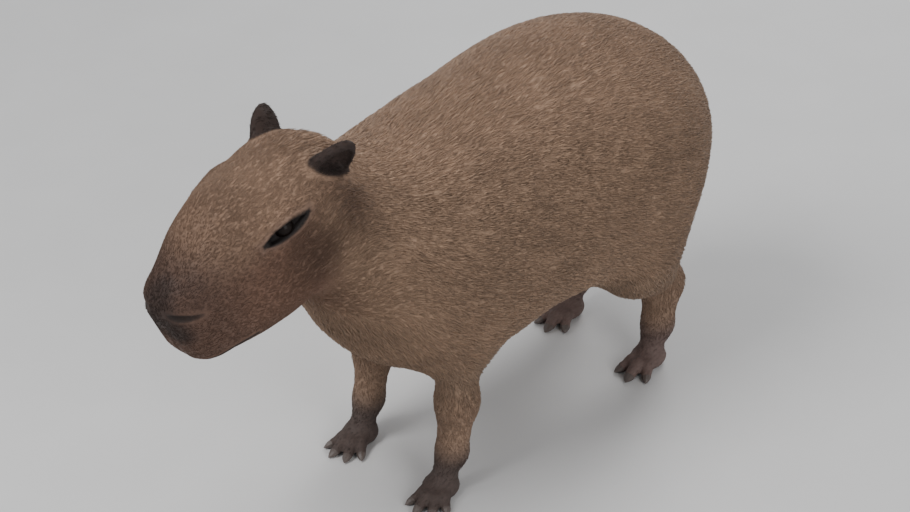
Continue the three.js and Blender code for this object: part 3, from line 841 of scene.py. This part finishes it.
def tufts(root, normal):
    """Seven corners for each tuft: three at its root, three halfway and one at the tip, in mm."""
    n = len(root)
    way = lie(root, normal)
    across = np.cross(normal, way)
    turn = rng.normal(0, TURN_SPREAD, n)[:, None]
    way, across = way * np.cos(turn) + across * np.sin(turn), across * np.cos(turn) - way * np.sin(turn)
    length = hair_length(root) * rng.uniform(*LENGTHS, n)
    width = LEAST_WIDTH + WIDTH_SHARE * length * rng.uniform(*WIDTHS, n)
    rise = length * rng.uniform(*RISES, n) * (0.6 + 0.4 * ramp(length, 6, 13)) + LEAST_RISE
    corners = np.empty((n, 7, 3))
    for k, (share, lift, size) in enumerate(LEVELS):
        centre = root + way * (length * share)[:, None] + normal * (rise * lift)[:, None]
        for j, (x, z) in enumerate(SECTION):
            corners[:, 3 * k + j] = (
                centre
                + across * (x * width * size)[:, None]
                + normal * (z * width * 0.5 * size)[:, None]
            )
    corners[:, 6] = root + way * length[:, None] + normal * rise[:, None]
    return corners


FACES = np.array(
    [
        [0, 2, 1],
        [0, 1, 4], [0, 4, 3],
        [1, 2, 5], [1, 5, 4],
        [2, 0, 3], [2, 3, 5],
        [3, 4, 6], [4, 5, 6], [5, 3, 6],
    ]
)


def coat_piece(name, corners, colours, places):
    n = len(corners)
    mesh = bpy.data.meshes.new(name)
    vertices = (corners.reshape(-1, 3) + (0, MOVE_Y, 0)) / 1000
    faces = (FACES[None] + 7 * np.arange(n)[:, None, None]).reshape(-1, 3)
    mesh.vertices.add(len(vertices))
    mesh.vertices.foreach_set("co", vertices.astype(np.float32).ravel())
    mesh.loops.add(len(faces) * 3)
    mesh.loops.foreach_set("vertex_index", faces.astype(np.int32).ravel())
    mesh.polygons.add(len(faces))
    mesh.polygons.foreach_set("loop_start", np.arange(0, len(faces) * 3, 3, dtype=np.int32))
    mesh.update(calc_edges=True)
    paint_mesh(mesh, np.repeat(colours, 7, 0))
    uv = (places[:, None] + PATCH_CORNERS[None] * PATCH).reshape(-1, 2)[faces.ravel()]
    layer = mesh.uv_layers.new(name="OFBake")
    layer.data.foreach_set("uv", uv.astype(np.float32).ravel())
    obj = bpy.data.objects.new(name, mesh)
    bpy.context.scene.collection.objects.link(obj)
    return obj


def make_coat(points, triangles, material):
    """Grows the tufts, each a little lighter or darker than its place, in pieces of the coat's size."""
    total = TUFTS
    root, normal = grow(points, triangles, total)
    corners = tufts(root, normal)
    corners[..., 2] = np.maximum(corners[..., 2], LOWEST)
    tone = rng.normal(1.0, TONE_SPREAD, total)
    tone = np.where(rng.random(total) < DARK_SHARE, tone * DARK_TONE, tone)
    tone = np.where(rng.random(total) < LIGHT_SHARE, tone * LIGHT_TONE, tone)
    tone = 1 + (tone - 1) * ramp(hair_length(root), 2, 12)
    colours = marks_and_painted_shade(root) * np.clip(tone, *TONES)[:, None]
    places = unwrap(root)
    for i, start in enumerate(range(0, total, TUFTS_A_PIECE)):
        part = slice(start, start + TUFTS_A_PIECE)
        piece = coat_piece(f"coat_{i + 1}", corners[part], colours[part], places[part])
        piece.data.materials.append(material)
        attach(piece, "root")


mesh, skin_points = skin_mesh()
paint_mesh(mesh, marks_and_painted_shade(skin_points))
skin = bpy.data.objects.new("skin", mesh)
bpy.context.scene.collection.objects.link(skin)
mesh.shade_smooth()
mesh.materials.append(skin_material())
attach(skin, "root")
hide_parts(*FLESH_NODES)
make_coat(skin_points, skin_triangles(mesh), coat_material())

horn, eyeball = horn_material(), eye_material()
for name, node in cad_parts.items():
    if "claw" in name or name.startswith("eye"):
        node.data.materials.clear()
        node.data.materials.append(eyeball if name.startswith("eye") else horn)
        if name.startswith("eye"):
            node.data.shade_smooth()

# Floor, light and camera

bpy.ops.mesh.primitive_plane_add(size=40, location=(0, 0, 0))
floor = bpy.context.object
floor.name = "floor"
floor.data.materials.append(floor_material())

LIT_POINT = Vector((0, 0, 0.35))


def area_light(name, place, power, size):
    data = bpy.data.lights.new(name, "AREA")
    data.energy = power
    data.size = size
    data.shape = "DISK"
    obj = bpy.data.objects.new(name, data)
    bpy.context.scene.collection.objects.link(obj)
    obj.location = place
    obj.rotation_euler = (LIT_POINT - Vector(place)).to_track_quat("-Z", "Y").to_euler()


area_light("key", (-0.6, -2.4, 3.4), 110, 2.2)
area_light("side", (3.2, -0.6, 1.8), 45, 2.0)
area_light("rim", (-1.0, 3.2, 2.6), 55, 1.8)

world = bpy.data.worlds.new("studio")
bpy.context.scene.world = world
world.use_nodes = True
world.node_tree.nodes["Background"].inputs["Color"].default_value = (0.9, 0.92, 0.95, 1)
world.node_tree.nodes["Background"].inputs["Strength"].default_value = 0.45

AZIMUTH, ELEVATION, DISTANCE = math.radians(42.142), math.radians(30.87), 3.3
TARGET = Vector((-0.015, 0.029 + MOVE_Y / 1000, 0.3))
FOCAL_PIXELS, PICTURE_WIDTH = 2219, 910  # as fitted to the picture
SENSOR = 36

camera_data = bpy.data.cameras.new("camera")
camera_data.sensor_width = SENSOR
camera_data.lens = FOCAL_PIXELS / PICTURE_WIDTH * SENSOR
camera_data.clip_end = 100
camera = bpy.data.objects.new("camera", camera_data)
bpy.context.scene.collection.objects.link(camera)
back = Vector(
    (
        math.sin(AZIMUTH) * math.cos(ELEVATION),
        -math.cos(AZIMUTH) * math.cos(ELEVATION),
        math.sin(ELEVATION),
    )
)
camera.location = TARGET + back * DISTANCE
camera.rotation_euler = (-back).to_track_quat("-Z", "Y").to_euler()
bpy.context.scene.camera = camera

bpy.context.view_layer.update()
